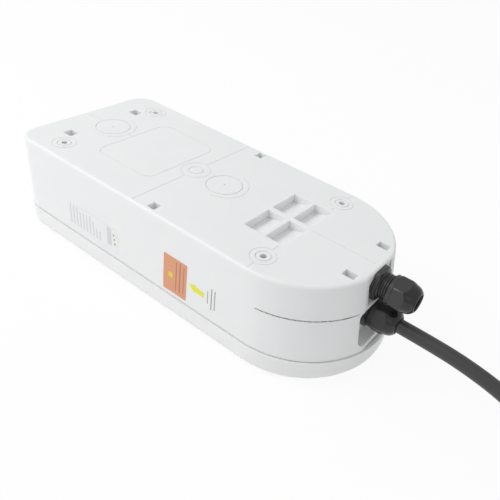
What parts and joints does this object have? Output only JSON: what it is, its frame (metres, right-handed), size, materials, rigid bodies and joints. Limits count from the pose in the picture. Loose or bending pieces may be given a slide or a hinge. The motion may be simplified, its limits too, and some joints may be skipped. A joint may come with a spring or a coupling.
{
  "type": "ev wallbox",
  "caption": "Wall charger for electric cars: deep white case with a half-round end, clipped front, cable glands and a tethered charging cable.",
  "frame": {"origin": "centre of the case and its glands in plan, at the level of the front face that it lies on", "axes": "+Z is the outward normal of the back (the wall side), +X runs along the case towards the round end with the glands"},
  "size_m": [1.1586, 0.2095, 0.108],
  "materials": {
    "aluminium": "sleeved",
    "black_plastic": "moulded",
    "board": "solder resist",
    "cable_sheath": "semi-matt sheath",
    "clear_plastic": "frosted",
    "contact_metal": "silver plated",
    "core_insulation": "smooth",
    "cover_plastic": "smooth satin",
    "gland_polyamide": "semi-gloss polyamide",
    "insulator_plastic": "moulded",
    "relay_plastic": "moulded",
    "seal_rubber": "matt",
    "soft_black": "matt",
    "steel": "zinc plated",
    "terminal_plastic": "moulded",
    "tie_strap": "woven hook and loop",
    "tin": "tinned",
    "white_plastic": "fine moulded grain"
  },
  "bodies": {
    "case": {"board_screws": "steel", "cable_coil": "cable_sheath", "cable_gland_body": "gland_polyamide", "cable_gland_claw_cage": "gland_polyamide", "cable_gland_locknut": "gland_polyamide", "cable_gland_seal_insert": "seal_rubber", "charging_cable": "cable_sheath", "charging_cable_tail": "cable_sheath", "charging_cores": "core_insulation", "coil_tie": "tie_strap", "connector_boot": "soft_black", "connector_contacts": "contact_metal", "connector_grip": "black_plastic", "connector_insulator": "insulator_plastic", "connector_nose": "black_plastic", "control_board": "board", "filter_capacitors": "aluminium", "front_cover": "cover_plastic", "housing_seal": "seal_rubber", "light_board": "board", "light_guide": "clear_plastic", "main_board": "board", "plug_lead": "cable_sheath", "power_relays": "relay_plastic", "radio_module": "tin", "rear_housing": "white_plastic", "residual_current_sensor": "black_plastic", "supply_gland_body": "gland_polyamide", "supply_gland_claw_cage": "gland_polyamide", "supply_gland_locknut": "gland_polyamide", "supply_gland_seal_insert": "seal_rubber", "supply_transformer": "relay_plastic", "terminal_block": "terminal_plastic", "terminal_screws": "steel"},
    "supply_nut": {"supply_gland_cap_nut": "gland_polyamide"},
    "cable_nut": {"cable_gland_cap_nut": "gland_polyamide"}
  },
  "joints": [
    {"name": "supply_nut_turn", "type": "hinge", "parent": "case", "child": "supply_nut", "pos_m": [0.18215, 0, 0.0914], "axis": [1, 0, 0], "range_deg": [-1080, 330]},
    {"name": "cable_nut_turn", "type": "hinge", "parent": "case", "child": "cable_nut", "pos_m": [0.18015, 0, 0.0575], "axis": [1, 0, 0], "range_deg": [0, 1410]}
  ]
}
